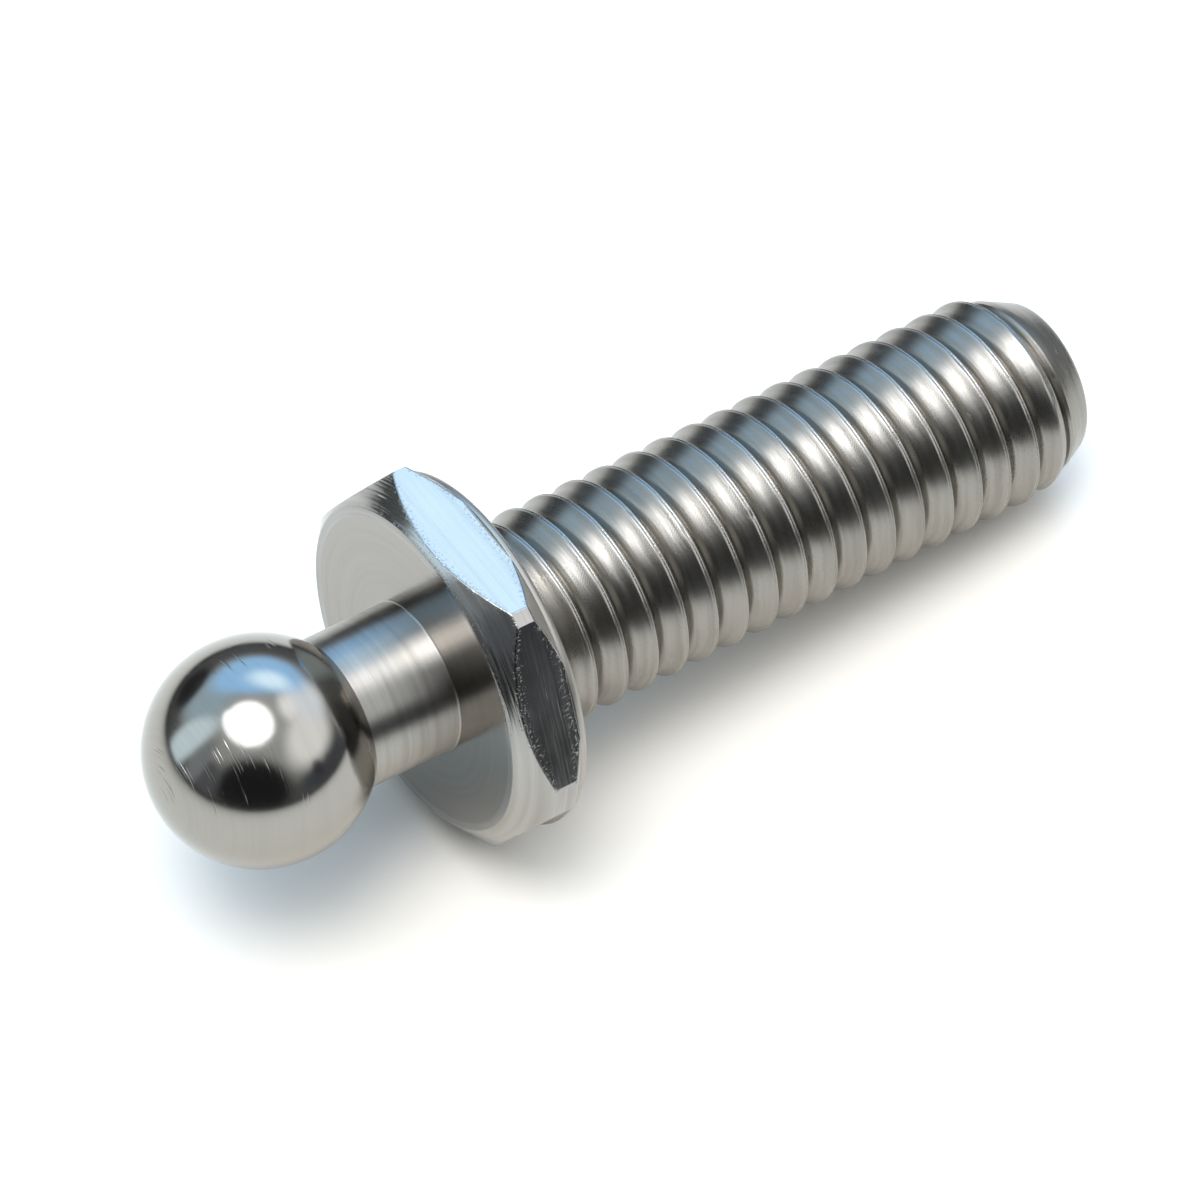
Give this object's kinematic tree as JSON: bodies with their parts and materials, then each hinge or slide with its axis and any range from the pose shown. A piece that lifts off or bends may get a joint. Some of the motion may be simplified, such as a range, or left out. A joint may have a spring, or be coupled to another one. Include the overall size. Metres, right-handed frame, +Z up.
{
  "type": "threaded ball stud",
  "caption": "One-piece ball stud: polished ball on a short neck, chamfered hexagonal flange with a washer face, and a fully threaded shank, lying on its side.",
  "frame": {"origin": "on the floor, under the centre of the bounding box", "axes": "+X from the ball towards the thread's tip along the stud (its axis dips by about 7.5 degrees), +Z up"},
  "size_m": [0.0466, 0.0179, 0.0164],
  "materials": {
    "steel": "polished and fine turned stainless steel"
  },
  "bodies": {
    "root": {"ball_stud": "steel"}
  },
  "joints": []
}
